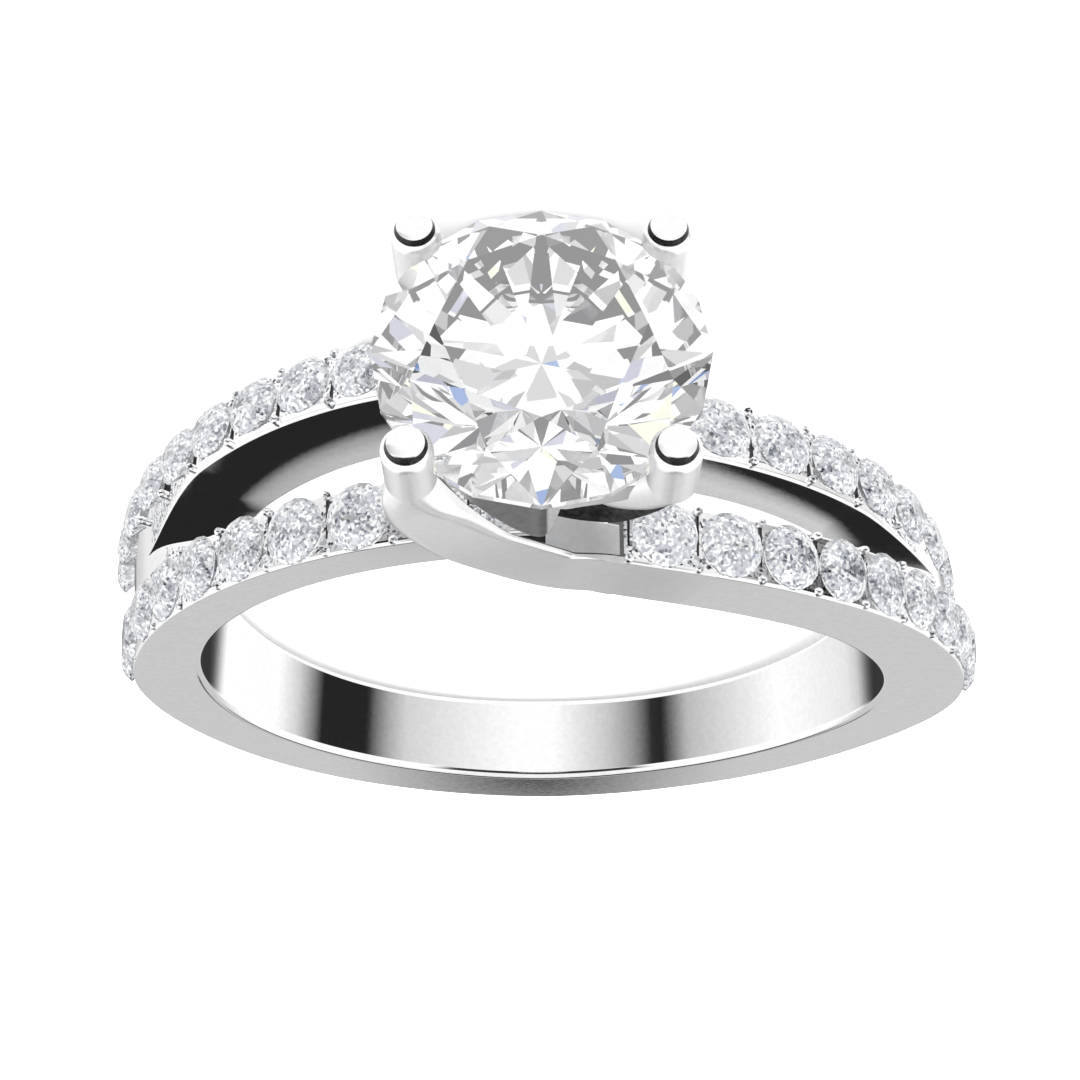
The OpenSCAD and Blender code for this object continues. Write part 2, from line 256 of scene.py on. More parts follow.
RING_TO_ROW = (
    Matrix.Scale(MM, 4)
    @ Matrix.Translation((0, REST_SHIFT, REST_HEIGHT))
    @ turned("Y", REST_ROLL) @ turned("X", REST_PITCH)
    @ turned("Y", 180) @ turned("X", 90))
HALF_TURN = turned("Z", 180)
X_AXIS, Y_AXIS, Z_AXIS = Vector((1, 0, 0)), Vector((0, 1, 0)), Vector((0, 0, 1))


def laid(axis):
    """Direction of one of the upright ring's axes once it is laid down."""
    return (RING_TO_ROW.to_3x3() @ axis).normalized()


# Smooth curves through the tables

def blend(t):
    u = min(1.0, max(0.0, t))
    return u * u * (3 - 2 * u)


def at(table, angle, column):
    """Value of a column of a strand table at an angle, smooth between rows."""
    last = len(table) - 1
    i = int(min(max(np.searchsorted(table[:, ANGLE], angle, "right") - 1, 0), last - 1))

    def slope(k):
        p, q = max(0, k - 1), min(last, k + 1)
        return (table[q, column] - table[p, column]) / (table[q, ANGLE] - table[p, ANGLE])

    h = table[i + 1, ANGLE] - table[i, ANGLE]
    t = (angle - table[i, ANGLE]) / h
    return ((2 * t**3 - 3 * t**2 + 1) * table[i, column] + (t**3 - 2 * t**2 + t) * slope(i) * h
            + (3 * t**2 - 2 * t**3) * table[i + 1, column] + (t**3 - t**2) * slope(i + 1) * h)


def along(rows, u):
    """Row of a path table at u, counted in rows, smooth between rows."""
    i = int(min(max(math.floor(u), 0), len(rows) - 2))
    f = u - i
    p, a, b, q = rows[max(0, i - 1)], rows[i], rows[i + 1], rows[min(len(rows) - 1, i + 2)]
    return (a * (1 - f)**2 * (1 + 2 * f) + b * f * f * (3 - 2 * f)
            + (b - p) / 2 * f * (1 - f)**2 - (q - a) / 2 * f * f * (1 - f))


def lean(angle):
    return WALL_LEAN * blend((angle - LEAN_FROM) / LEAN_RUN)


def wall(table, angle, r):
    return at(table, angle, WALL) + lean(angle) * (r - FINGER_R)


def ring_point(angle, y, r):
    a = radians(angle)
    return (r * cos(a), y, r * sin(a))


def angle_of(x, z):
    return math.degrees(math.atan2(z, x))


def seam_y(angle):
    return (at(NARROW_STRAND, angle, WALL) - at(WIDE_STRAND, angle, WALL)) / 2


def seam_r(angle):
    return (at(NARROW_STRAND, angle, TOP) + at(WIDE_STRAND, angle, TOP)) / 2


# Sections: lists of (y, r) pairs with rounded corners

def corner(before, tip, after, radius):
    """Arc that rounds the corner at tip, in ARC_STEPS steps."""
    before, tip, after = Vector(before), Vector(tip), Vector(after)
    a, b = (before - tip), (after - tip)
    if radius < TINY or min(a.length, b.length) < TINY:
        return [tuple(tip)] * (ARC_STEPS + 1)
    a.normalize()
    b.normalize()
    half = math.acos(max(-1.0, min(1.0, a.dot(b)))) / 2
    reach = radius / math.tan(half)
    centre = tip + (a + b).normalized() * (radius / sin(half))
    start, end = tip + a * reach - centre, tip + b * reach - centre
    sweep = math.atan2(start.x * end.y - start.y * end.x, start.dot(end))
    points = []
    for k in range(ARC_STEPS + 1):
        t = sweep * k / ARC_STEPS
        points.append((centre.x + start.x * cos(t) - start.y * sin(t),
                       centre.y + start.x * sin(t) + start.y * cos(t)))
    return points


def rounded(corners, radii):
    count = len(corners)
    return [corner(corners[k - 1], corners[k], corners[(k + 1) % count], radii[k])
            for k in range(count)]


def toward(start, end, distance):
    start, end = Vector(start), Vector(end)
    return tuple(start + (end - start).normalized() * distance)


# Places in a strand's section: its cut top, its inner side and its outer wall
STRAND_TOP = 3 * (ARC_STEPS + 1)
STRAND_INNER = STRAND_TOP + 2
STRAND_WALL = (ARC_STEPS + 1, STRAND_TOP)


def band_section(angle):
    """Plain band: corner arcs with the two seam points between them."""
    rf, rb = at(WIDE_STRAND, angle, TOP), at(NARROW_STRAND, angle, TOP)
    share = blend((angle - BAND_ROUND_FROM) / BAND_ROUND_RUN)
    edge = BAND_ROUND + (RIM_ROUND - BAND_ROUND) * share
    seam = (seam_y(angle), seam_r(angle))
    front, back = (-wall(WIDE_STRAND, angle, rf), rf), (wall(NARROW_STRAND, angle, rb), rb)
    front_under, seam_under, back_under, back_top, seam_top, front_top = rounded(
        [(-wall(WIDE_STRAND, angle, FINGER_R), FINGER_R), (seam[0], FINGER_R),
         (wall(NARROW_STRAND, angle, FINGER_R), FINGER_R), back, seam, front],
        [BORE_EDGE, 0, BORE_EDGE, edge, 0, edge])
    return (front_under + seam_under + back_under + back_top + [toward(back, seam, RIM_STRIP)]
            + seam_top + [toward(front, seam, RIM_STRIP)] + front_top)


def strand_section(table, angle, width, side):
    """One strand: inner and outer corners below, then above. side is -1 in front."""
    t = blend((angle - SPLIT_ANGLE) / SPLIT_RUN)
    r = at(table, angle, TOP)
    inner_r = seam_r(angle) * (1 - t) + r * t
    outer, under = side * wall(table, angle, r), side * wall(table, angle, FINGER_R)
    inner = seam_y(angle) * (1 - t) + (outer - side * width) * t
    inner_under = seam_y(angle) * (1 - t) + (under - side * width) * t
    rim = min(RIM_ROUND, width * RIM_SHARE)
    arcs = rounded(
        [(inner_under, FINGER_R), (under, FINGER_R), (outer, r), (inner, inner_r)],
        [BORE_ROUND * t, BORE_EDGE, rim, rim * t])
    strips = [toward((outer, r), (inner, inner_r), RIM_STRIP),
              toward((inner, inner_r), (outer, r), INNER_STRIP * t)]
    bow = -side * t * (WIDE_BOW if width == WIDE_W else NARROW_BOW)
    head, foot = arcs[3][-1], arcs[0][0]
    inner_wall = []
    for k in range(1, BOW_POINTS + 1):
        f = k / (BOW_POINTS + 1)
        inner_wall.append((head[0] + (foot[0] - head[0]) * f + bow * 4 * f * (1 - f),
                           head[1] + (foot[1] - head[1]) * f))
    return arcs[0] + arcs[1] + arcs[2] + strips + arcs[3] + inner_wall


def placed(section, angle):
    return [ring_point(angle, y, r) for y, r in section]


def angles(start, end):
    n = max(1, math.ceil((end - start) / ANGLE_STEP))
    return [start + (end - start) * k / n for k in range(n + 1)]


# Meshes are lists of points and faces, each face with a finish

# Of the finishes, the third is near-black painted shade and the fifth grey painted shade; the
# second is satin metal painted darker as shade; the fourth is cut metal with painted glints.
POLISH, SATIN_PAINTED_DARKER, PAINTED_DARK_SHADE, CUT_FACE, PAINTED_GREY_SHADE, SOFT = range(6)
FINISHES = []


class Shell:
    def __init__(self):
        self.points = []
        self.faces = []
        self.finish = []

    def add(self, points, faces, finish):
        base = len(self.points)
        self.points += [tuple(p) for p in points]
        self.faces += [tuple(base + i for i in f) for f in faces]
        self.finish += finish

    def loft(self, rings, first_cap=True, last_cap=True, finish=POLISH):
        """Skin over rings; finish is one number, or a function of ring and side."""
        n, m = len(rings), len(rings[0])
        at_place = finish if callable(finish) else lambda ring, side: finish
        faces, given = [], []
        for i in range(n - 1):
            for j in range(m):
                k = (j + 1) % m
                faces.append((i * m + j, i * m + k, (i + 1) * m + k, (i + 1) * m + j))
                given.append(at_place(i, j))
        if first_cap:
            faces.append(tuple(range(m - 1, -1, -1)))
            given.append(at_place(0, 0))
        if last_cap:
            faces.append(tuple((n - 1) * m + j for j in range(m)))
            given.append(at_place(n - 2, 0))
        self.add([p for ring in rings for p in ring], faces, given)

    def also_turned(self):
        """Adds the copy half a turn round the head axis."""
        points = [HALF_TURN @ Vector(p) for p in self.points]
        self.add(points, list(self.faces), list(self.finish))
        return self

    def mesh(self, name):
        data = bpy.data.meshes.new(name)
        data.from_pydata([RING_TO_ROW @ Vector(p) for p in self.points], [], self.faces)
        for finish in FINISHES:
            data.materials.append(finish)
        data.polygons.foreach_set("material_index", self.finish)
        obj = bpy.data.objects.new(name, data)
        bpy.context.scene.collection.objects.link(obj)
        return clean(obj)


def clean(obj):
    """Merges points that meet, drops what collapsed and turns faces outward."""
    bm = bmesh.new()
    bm.from_mesh(obj.data)
    bmesh.ops.remove_doubles(bm, verts=bm.verts, dist=MERGE_NEAR)
    bmesh.ops.dissolve_degenerate(bm, edges=bm.edges, dist=COLLAPSED)
    bmesh.ops.recalc_face_normals(bm, faces=bm.faces)
    if bm.calc_volume(signed=True) < 0:
        bmesh.ops.reverse_faces(bm, faces=bm.faces)
    bm.to_mesh(obj.data)
    bm.free()
    return obj


# Shank: plain band, then a fork; the wide strand's front wall runs on into the swirl

def plate_ring(u):
    """Section of the swirl at u, corners in the order of strand_section."""
    x, y, z, high, thick, square = along(SWIRL_ROWS, u)
    ahead, behind = along(SWIRL_ROWS, u + PATH_NUDGE), along(SWIRL_ROWS, u - PATH_NUDGE)
    d = Vector((ahead[0] - behind[0], ahead[2] - behind[2])).normalized()
    edge = min(thick, PLATE_ROUND)
    ring = []
    for low, out, begin in ((1, 1, 90), (1, -1, 0), (-1, -1, 270), (-1, 1, 180)):
        for k in range(ARC_STEPS + 1):
            a = radians(begin - 90 * k / ARC_STEPS)
            c, s = cos(a), sin(a)
            box_c = low * (high - edge) + edge * c
            box_s = out * (thick - edge) + edge * s
            c2 = square * box_c + (1 - square) * high * c
            s2 = square * box_s + (1 - square) * thick * s
            if s2 > 0:
                s2 *= 1 - square * (1 - min(1.0, PLATE_BACK / thick))
            ring.append(Vector((x - d[1] * c2, y + s2 + WALL_LEAN * square * c2,
                                z + d[0] * c2)))
    top = [ring[STRAND_TOP - 1].lerp(ring[STRAND_TOP], f) for f in (1 / 3, 2 / 3)]
    back = [ring[-1].lerp(ring[0], k / (BOW_POINTS + 1)) for k in range(1, BOW_POINTS + 1)]
    return ring[:STRAND_TOP] + top + ring[STRAND_TOP:] + back


def swirl_start():
    """Place on the swirl's path, within its first rows, where the full strand ends."""
    low, high = 0.0, 3.0
    for _ in range(HALVINGS):
        u = (low + high) / 2
        x, _, z = along(SWIRL_ROWS, u)[:3]
        if angle_of(x, z) < STEP_ANGLE:
            low = u
        else:
            high = u
    return low


def swirl_rings():
    """Sections from the wide strand's outer wall to the round prong."""
    start, last = swirl_start(), len(SWIRL_ROWS) - 1
    n = (last - 1) * PATH_STEPS
    rings = []
    for k in range(n + 1):
        u = start + (last - start) * k / n
        own = plate_ring(u)
        share = blend((u - start) / SWIRL_BLEND)
        if share < 1:
            x, _, z = along(SWIRL_ROWS, u)[:3]
            a = angle_of(x, z)
            strand = placed(strand_section(WIDE_STRAND, a, PLATE_T, -1), a)
            own = [tuple(Vector(p).lerp(Vector(q), share)) for p, q in zip(strand, own)]
        rings.append(own)
    return rings


def shank():
    """Half of the shank with one swirl, and its copy half a turn on."""
    shell = Shell()
    shell.loft([placed(band_section(a), a) for a in angles(BOTTOM_ANGLE, SPLIT_ANGLE)],
               False, False)
    wide = [placed(strand_section(WIDE_STRAND, a, WIDE_W, -1), a)
            for a in angles(SPLIT_ANGLE, STEP_ANGLE)]
    rings = wide + swirl_rings()

    def wide_finish(i, j):
        if i >= len(wide) - 1:
            # The swirl's inner side is painted dark shade.
            return PAINTED_DARK_SHADE if j >= STRAND_INNER else SOFT
        angle = angle_of(rings[i][0][0], rings[i][0][2])
        if j == STRAND_TOP and angle > WIDE_CUT_FROM:
            return CUT_FACE
        on_wall = STRAND_WALL[0] <= j < STRAND_WALL[1]
        return SOFT if on_wall and angle > SOFT_WALL_FROM else POLISH

    shell.loft(rings, False, True, wide_finish)
    narrow = angles(SPLIT_ANGLE, NARROW_LAST)

    def narrow_finish(i, j):
        return CUT_FACE if j == STRAND_TOP and narrow[i] > NARROW_CUT_FROM else POLISH

    shell.loft([placed(strand_section(NARROW_STRAND, a, NARROW_W, 1), a) for a in narrow],
               False, True, narrow_finish)
    return shell.also_turned()


def ledge():
    """Plain step between the last stone and the head, behind the swirl's wall."""
    shell = Shell()
    rings = []
    for a in angles(STEP_ANGLE - STEP_OVERLAP, WIDE_LAST):
        r = at(WIDE_STRAND, a, TOP) - STEP_DEPTH
        outer, under = -wall(WIDE_STRAND, a, r), -wall(WIDE_STRAND, a, FINGER_R)
        width = WIDE_W - STEP_IN
        arcs = rounded([(under + width, FINGER_R), (under + STEP_BEHIND, FINGER_R),
                        (outer + STEP_BEHIND, r), (outer + width, r)], STEP_ROUND)
        rings.append(placed(sum(arcs, []), a))
    # Satin metal whose base is painted darker than the polished metal, as shade.
    shell.loft(rings, finish=SATIN_PAINTED_DARKER)
    return shell.also_turned()


# Head: prongs, gallery rail, sheets under the stone, base and bridge

def circle(centre, radius, steps, across=X_AXIS, up=Y_AXIS):
    ring = []
    for j in range(steps):
        t = math.tau * j / steps
        ring.append(Vector(centre) + across * (radius * cos(t)) - up * (radius * sin(t)))
    return ring


def prong_top(shell, x, y, z0):
    """Upper end of a prong: straight, a shoulder, a ring painted in dark shade and a domed cap."""
    rings = [circle((x, y, z0), PRONG_R, ROUND_SIDES)]
    for depth, radius in CAP_PROFILE:
        rings.append(circle((x, y, PRONG_TIP - depth), radius, ROUND_SIDES))
    for k in range(ROUND_STEPS):
        share = 1 - CAP_SPAN * k / (ROUND_STEPS - 1)
        rings.append(circle((x, y, PRONG_TIP - CAP_RISE * share**CAP_POWER), CAP_R * share,
                            ROUND_SIDES))
    dark = len(CAP_PROFILE)
    # The ring under the dome is painted dark shade; the dome is polished and the rest soft.
    shell.loft(rings, finish=lambda i, j: SOFT if i < dark else PAINTED_DARK_SHADE if i == dark else POLISH)


def stem(shell):
    """Curved stem that carries the plain front prong."""
    n = (len(STEM_ROWS) - 1) * PATH_STEPS
    path = [along(STEM_ROWS, k * (len(STEM_ROWS) - 1) / n) for k in range(n + 1)]
    side = Vector((1, 1, 0)).normalized()
    rings = []
    for k, row in enumerate(path):
        d = Vector((path[min(n, k + 1)] - path[max(0, k - 1)])[:3]).normalized()
        across = side.cross(d).normalized()
        up = d.cross(across).normalized()
        rings.append(circle(row[:3], row[3], ROUND_SIDES, across, up))
    shell.loft(rings, finish=SOFT)


def prongs():
    shell = Shell()
    prong_top(shell, -PRONG_A, -PRONG_B, SWIRL_PRONG_FROM)
    prong_top(shell, PRONG_A, -PRONG_B, STEM_PRONG_FROM)
    stem(shell)
    return shell.also_turned()


def gallery():
    """Rails between the front and back prongs, high at the prongs, low between them."""
    shell = Shell()
    rings = []
    for k in range(RAIL_STEPS + 1):
        a = radians(-45 + 90 * k / RAIL_STEPS)
        dip = cos(2 * a)**2
        r, z = RAIL_REACH - RAIL_PULL * dip, RAIL_TOP - RAIL_DIP * dip
        rings.append([((r + RAIL_T * cos(t)) * cos(a), (r + RAIL_T * cos(t)) * sin(a),
                       z + RAIL_TALL * RAIL_T * sin(t))
                      for t in (math.tau * j / RAIL_SIDES for j in range(RAIL_SIDES))])
    shell.loft(rings)
    return shell.also_turned()


def sheet(shell, rows, slope, thick, edge, finish=POLISH):
    """Curved plate under the stone, from its table of x, y, lower and upper edge."""
    n = (len(rows) - 1) * SHEET_STEPS
    rings = []
    for k in range(n + 1):
        x, y, low, high = along(rows, k * (len(rows) - 1) / n)
        back = y + slope * (high - low)
        arcs = rounded([(y, low), (back, high), (back + thick, high), (y + thick, low)],
                       [edge] * 4)
        rings.append([(x, q, z) for q, z in sum(arcs, [])])
    shell.loft(rings, finish=finish)


def collars():
    """Sheets that sweep from the prongs under the stone, and pass in front of it."""
    shell = Shell()
    # The tongue is painted grey shade and the apron near-black painted shade; the ribbon is
    # polished metal.
    sheet(shell, TONGUE_ROWS, slope=0.17, thick=0.22, edge=0.07, finish=PAINTED_GREY_SHADE)
    sheet(shell, RIBBON_ROWS, slope=0.02, thick=0.24, edge=0.10)
    sheet(shell, APRON_ROWS, slope=0.30, thick=0.20, edge=0.05, finish=PAINTED_DARK_SHADE)
    return shell.also_turned()


def head_base():
    shell = Shell()
    # The base under the stone is painted dark shade all over.
    shell.loft([circle((0, 0, z), r, ROUND_SIDES) for z, r in HEAD_BASE], finish=PAINTED_DARK_SHADE)
    return shell


# Blocks of the bridge: half size along X and Y, lower and upper edge, finish
# The thin upper block is painted dark shade.
BRIDGE_BLOCKS = ((0.75, 1.95, FINGER_R, 9.64, POLISH), (0.74, 1.94, 9.60, 9.70, PAINTED_DARK_SHADE))


def bridge():
    """Block between the strands, painted dark shade on top where the stone hides it."""
    shell = Shell()
    for across, half, low, high, finish in BRIDGE_BLOCKS:
        outline = ((-across, low), (across, low), (across, high), (-across, high))
        shell.loft([[(x, y, z) for x, z in outline] for y in (-half, half)], finish=finish)
    return shell


# Rows of small stones: places, seats and claws

def row_place(table, angle, wide, rise):
    """Matrix of a place on a strand: its Z axis points out of the strand."""
    side = -1 if wide else 1
    r = at(table, angle, TOP) + rise
    y = side * (wall(table, angle, r) - (WIDE_W if wide else NARROW_W) / 2)
    climb = at(table, angle + 1, TOP) - at(table, angle - 1, TOP)
    return (turned("Y", -angle) @ Matrix.Translation((r, y, 0))
            @ turned("Z", side * math.degrees(math.atan(lean(angle))))
            @ turned("Y", math.degrees(math.atan(climb / (r * 2 * math.pi / 180))))
            @ turned("Y", 90))


ROWS = ((WIDE_STRAND, True, WIDE_COUNT, WIDE_START, WIDE_PITCH, WIDE_D, WIDE_W),
        (NARROW_STRAND, False, NARROW_COUNT, NARROW_START, NARROW_PITCH, NARROW_D, NARROW_W))


def seats(parity):
    """Cutters for every second stone seat, so that none of them touch."""
    shell = Shell()
    turns = [math.tau * (j + 0.5) / CUTTER_SIDES for j in range(CUTTER_SIDES)]
    n = CUTTER_SIDES
    for table, wide, count, start, pitch, d, _ in ROWS:
        r = d / 2 / cos(radians(SEAT_CORNER)) + SEAT_GAP
        girdle, depth = CUT_GIRDLE * d, r * CUT_PAVILION / 0.5 + SEAT_DEEPER
        for k in range(parity, count, 2):
            place = row_place(table, start - pitch * (k + 0.5), wide, STONE_RISE)
            ring = [place @ Vector((r * cos(t), r * sin(t), -girdle)) for t in turns]
            lid = [place @ Vector((r * cos(t), r * sin(t), CUTTER_TOP)) for t in turns]
            tip = place @ Vector((0, 0, -depth - girdle))
            faces = [(j, (j + 1) % n, n + (j + 1) % n, n + j) for j in range(n)]
            faces += [((j + 1) % n, j, 2 * n) for j in range(n)]
            faces.append(tuple(n + j for j in range(n)))
            shell.add(ring + lid + [tip], faces, [CUT_FACE] * len(faces))
    return shell.also_turned()


def claws():
    """Between the stones: round-headed posts coloured with painted glints at both sides, and a bar
    across painted in dark shade.
    """
    shell = Shell()
    half = BAR_T / 2
    bar = [(-half, BAR_FOOT), (half, BAR_FOOT), (half, BAR_RISE), (-half, BAR_RISE)]
    for table, wide, count, start, pitch, _, width in ROWS:
        out = width / 2 - CLAW_R - CLAW_INSET
        for k in range(count + 1):
            angle = start - pitch * k
            if angle < CLAWS_FROM:
                continue
            place = row_place(table, angle, wide, 0)
            for s in (-1, 1):
                rings = [circle((0, s * out, CLAW_FOOT), CLAW_R, CLAW_SIDES)]
                for j in range(CLAW_STEPS + 1):
                    t = radians(CLAW_SWEEP * j / CLAW_STEPS)
                    rings.append(circle((0, s * out, CLAW_RISE - CLAW_R * (1 - sin(t))),
                                        CLAW_R * cos(t), CLAW_SIDES))
                shell.loft([[place @ p for p in ring] for ring in rings], finish=CUT_FACE)
            if angle < BARS_FROM:
                continue
            shell.loft([[place @ Vector((x, s * (width / 2 - BAR_INSET), z)) for x, z in bar]
                        for s in (-1, 1)], finish=PAINTED_DARK_SHADE)
    return shell.also_turned()


def modified(obj, kind, **options):
    """Applies one modifier to obj."""
    m = obj.modifiers.new(kind, kind)
    for name, value in options.items():
        setattr(m, name, value)
    depsgraph = bpy.context.evaluated_depsgraph_get()
    made = bpy.data.meshes.new_from_object(obj.evaluated_get(depsgraph))
    obj.modifiers.clear()
    obj.data = made
    return obj


def cut(obj, cutter):
    """Takes the cutter's volume out of obj and removes the cutter."""
    modified(obj, "BOOLEAN", operation="DIFFERENCE", solver="MANIFOLD", object=cutter)
    bpy.data.objects.remove(cutter)
    return obj


def smooth(obj):
    """Smooth shading in which wide faces keep their own direction."""
    for p in obj.data.polygons:
        p.use_smooth = True
    obj.data.set_sharp_from_angle(angle=radians(SHARP_ANGLE))
    # The modifier tells wide faces from narrow ones only in millimetres
    obj.data.transform(Matrix.Scale(1 / MM, 4))
    modified(obj, "WEIGHTED_NORMAL", keep_sharp=True, weight=NORMAL_WEIGHT)
    obj.data.transform(Matrix.Scale(MM, 4))
    return obj


# Materials

def node(tree, kind, **sockets):
    n = tree.nodes.new(kind)
    for name, value in sockets.items():
        n.inputs[name.replace("_", " ")].default_value = value
    return n


def calc(tree, operation, *values):
    n = tree.nodes.new("ShaderNodeMath")
    n.operation = operation
    for socket, value in zip(n.inputs, values):
        if isinstance(value, (int, float)):
            socket.default_value = value
        else:
            tree.links.new(value, socket)
    return n.outputs[0]


def rise(tree, value, start, end):
    """0 before start and 1 past end, with a soft step between them."""
    n = node(tree, "ShaderNodeMapRange", From_Min=start, From_Max=end)
    n.interpolation_type = "SMOOTHSTEP"
    tree.links.new(value, n.inputs["Value"])
    return n.outputs[0]


def blended(tree, share, first, second):
    """first where share is 0, second where it is 1; both colours or greys."""
    n = tree.nodes.new("ShaderNodeMix")
    n.data_type = "RGBA"
    tree.links.new(share, n.inputs["Factor"])
    for socket, value in ((n.inputs[6], first), (n.inputs[7], second)):
        if isinstance(value, (int, float)):
            socket.default_value = (value, value, value, 1)
        else:
            tree.links.new(value, socket)
    return n.outputs[2]


def ramp(tree, value, stops, interpolation="LINEAR"):
    n = tree.nodes.new("ShaderNodeValToRGB")
    n.color_ramp.interpolation = interpolation
    elements = n.color_ramp.elements
    while len(elements) < len(stops):
        elements.new(0.5)
    for element, (position, colour) in zip(elements, stops):
        element.position = position
        element.color = (*colour, 1)
    tree.links.new(value, n.inputs["Fac"])
    return n.outputs["Color"]


def material(name):
    m = bpy.data.materials.new(name)
    m.use_nodes = True
    tree = m.node_tree
    return m, tree, tree.nodes["Principled BSDF"]


def axis_dot(tree, vector, axis):
    """Part of a vector along one of the upright ring's axes."""
    dot = tree.nodes.new("ShaderNodeVectorMath")
    dot.operation = "DOT_PRODUCT"
    dot.inputs[1].default_value = laid(axis)
    tree.links.new(vector, dot.inputs[0])
    return dot.outputs["Value"]


def origin_along(axis):
    """Where the upright ring's origin lies along one of its axes, in metres."""
    return RING_TO_ROW.to_translation().dot(laid(axis))


def grained(name, low, high, grain=6000.0):
    """Metal whose tint varies a little between two greys, in a fine grain."""
    m, tree, shader = material(name)
    link = tree.links.new
    shader.inputs["Metallic"].default_value = 1.0
    place = tree.nodes.new("ShaderNodeTexCoord")
    noise = node(tree, "ShaderNodeTexNoise", Scale=grain, Detail=3.0, Roughness=0.6)
    link(place.outputs["Object"], noise.inputs["Vector"])
    tint = ramp(tree, noise.outputs["Fac"], ((0.35, (low,) * 3), (0.65, (high,) * 3)))
    link(tint, shader.inputs["Base Color"])
    bump = node(tree, "ShaderNodeBump", Strength=0.03, Distance=0.00002)
    link(noise.outputs["Fac"], bump.inputs["Height"])
    link(bump.outputs["Normal"], shader.inputs["Normal"])
    return m, tree, shader, place, noise


def even_metal(name, low, high, roughness, **options):
    """Grained metal of one roughness."""
    m, _, shader, _, _ = grained(name, low, high, **options)
    shader.inputs["Roughness"].default_value = roughness
    return m


def polished_metal():
    """Polished white metal, a little rougher on the flat outer walls of the shank."""
    m, tree, shader, place, noise = grained("polished_white_metal", 0.87, 0.93)
    facing = axis_dot(tree, place.outputs["Normal"], Y_AXIS)
    middle = axis_dot(tree, place.outputs["Object"], Y_AXIS)
    side = calc(tree, "SIGN", calc(tree, "SUBTRACT", middle, origin_along(Y_AXIS)))
    outward = calc(tree, "MULTIPLY", facing, side)
    satin = node(tree, "ShaderNodeMapRange", From_Min=0.80, From_Max=0.97,
                 To_Min=POLISHED, To_Max=SATIN)
    tree.links.new(outward, satin.inputs["Value"])
    spread = node(tree, "ShaderNodeMapRange", From_Min=0.3, From_Max=0.7,
                  To_Min=0.8, To_Max=1.2)
    tree.links.new(noise.outputs["Fac"], spread.inputs["Value"])
    rough = calc(tree, "MULTIPLY", satin.outputs[0], spread.outputs[0])
    tree.links.new(rough, shader.inputs["Roughness"])
    return m


def soft_metal():
    """Softly polished metal of the prongs, the swirls and the walls beside them."""
    m, tree, shader, place, _ = grained("soft_white_metal", 0.90, 0.95)
    shader.inputs["Roughness"].default_value = 0.30
    low, high = (h * MM + origin_along(Z_AXIS) for h in SOFT_HEIGHTS)
    milky = node(tree, "ShaderNodeMapRange", From_Min=low, From_Max=high,
                 To_Min=SOFT_METALLIC[0], To_Max=SOFT_METALLIC[1])
    tree.links.new(axis_dot(tree, place.outputs["Object"], Z_AXIS), milky.inputs["Value"])
    tree.links.new(milky.outputs[0], shader.inputs["Metallic"])
    return m


def cell_values(tree, vector, scale):
    """Two random values for each cell of a pattern."""
    cells = node(tree, "ShaderNodeTexVoronoi", Scale=scale)
    tree.links.new(vector, cells.inputs["Vector"])
    parts = tree.nodes.new("ShaderNodeSeparateColor")
    tree.links.new(cells.outputs["Color"], parts.inputs["Color"])
    return parts.outputs[0], parts.outputs[1]


def add_painted_glints(tree, shader, colours, relief):
    """Gives each tiny cell of the surface a colour of painted glint or shade, and its own tilt."""
    place = tree.nodes.new("ShaderNodeTexCoord")
    pick, height = cell_values(tree, place.outputs["Object"], GLINT_SCALE)
    tree.links.new(ramp(tree, pick, colours, "CONSTANT"), shader.inputs["Base Color"])
    bump = node(tree, "ShaderNodeBump", Strength=1.0, Distance=relief)
    tree.links.new(height, bump.inputs["Height"])
    tree.links.new(bump.outputs["Normal"], shader.inputs["Normal"])


def cut_metal():
    """Cut metal round the small stones: fine facets and beads as tilted cells, coloured with
    painted glints and shade.
    """
    m, tree, shader = material("cut_metal_painted_glints")
    shader.inputs["Metallic"].default_value = 1.0
    shader.inputs["Roughness"].default_value = 0.15
    add_painted_glints(tree, shader, PAINTED_CUT_GLINTS, CUT_RELIEF)
    return m


def diamond():
    """Clear colourless diamond with a faint painted glow."""
    m, tree, shader = material("clear_diamond")
    link = tree.links.new
    shader.inputs["Transmission Weight"].default_value = 1.0
    shader.inputs["IOR"].default_value = DIAMOND_IOR
    shader.inputs["Roughness"].default_value = 0.0
    # Painted glow: a faint white emission.
    shader.inputs["Emission Color"].default_value = (1, 1, 1, 1)
    shader.inputs["Emission Strength"].default_value = PAINTED_DIAMOND_GLOW
    place = tree.nodes.new("ShaderNodeTexCoord")
    cloud = node(tree, "ShaderNodeTexNoise", Scale=700.0, Detail=2.0)
    link(place.outputs["Object"], cloud.inputs["Vector"])
    tint = ramp(tree, cloud.outputs["Fac"], ((0.0, (0.985, 0.99, 1.0)), (1.0, (1.0, 1.0, 0.995))))
    link(tint, shader.inputs["Base Color"])
    return m


def small_diamond():
    """Small brilliants: partly clear, their tiny cells coloured with painted glints and shade and
    tilted a little.
    """
    m, tree, shader = material("small_brilliants")
    shader.inputs["Transmission Weight"].default_value = 0.8
    shader.inputs["IOR"].default_value = DIAMOND_IOR
    shader.inputs["Roughness"].default_value = 0.02
    add_painted_glints(tree, shader, PAINTED_GLINTS, GLINT_RELIEF)
    return m


# Studio: floor, sky, lamp, camera

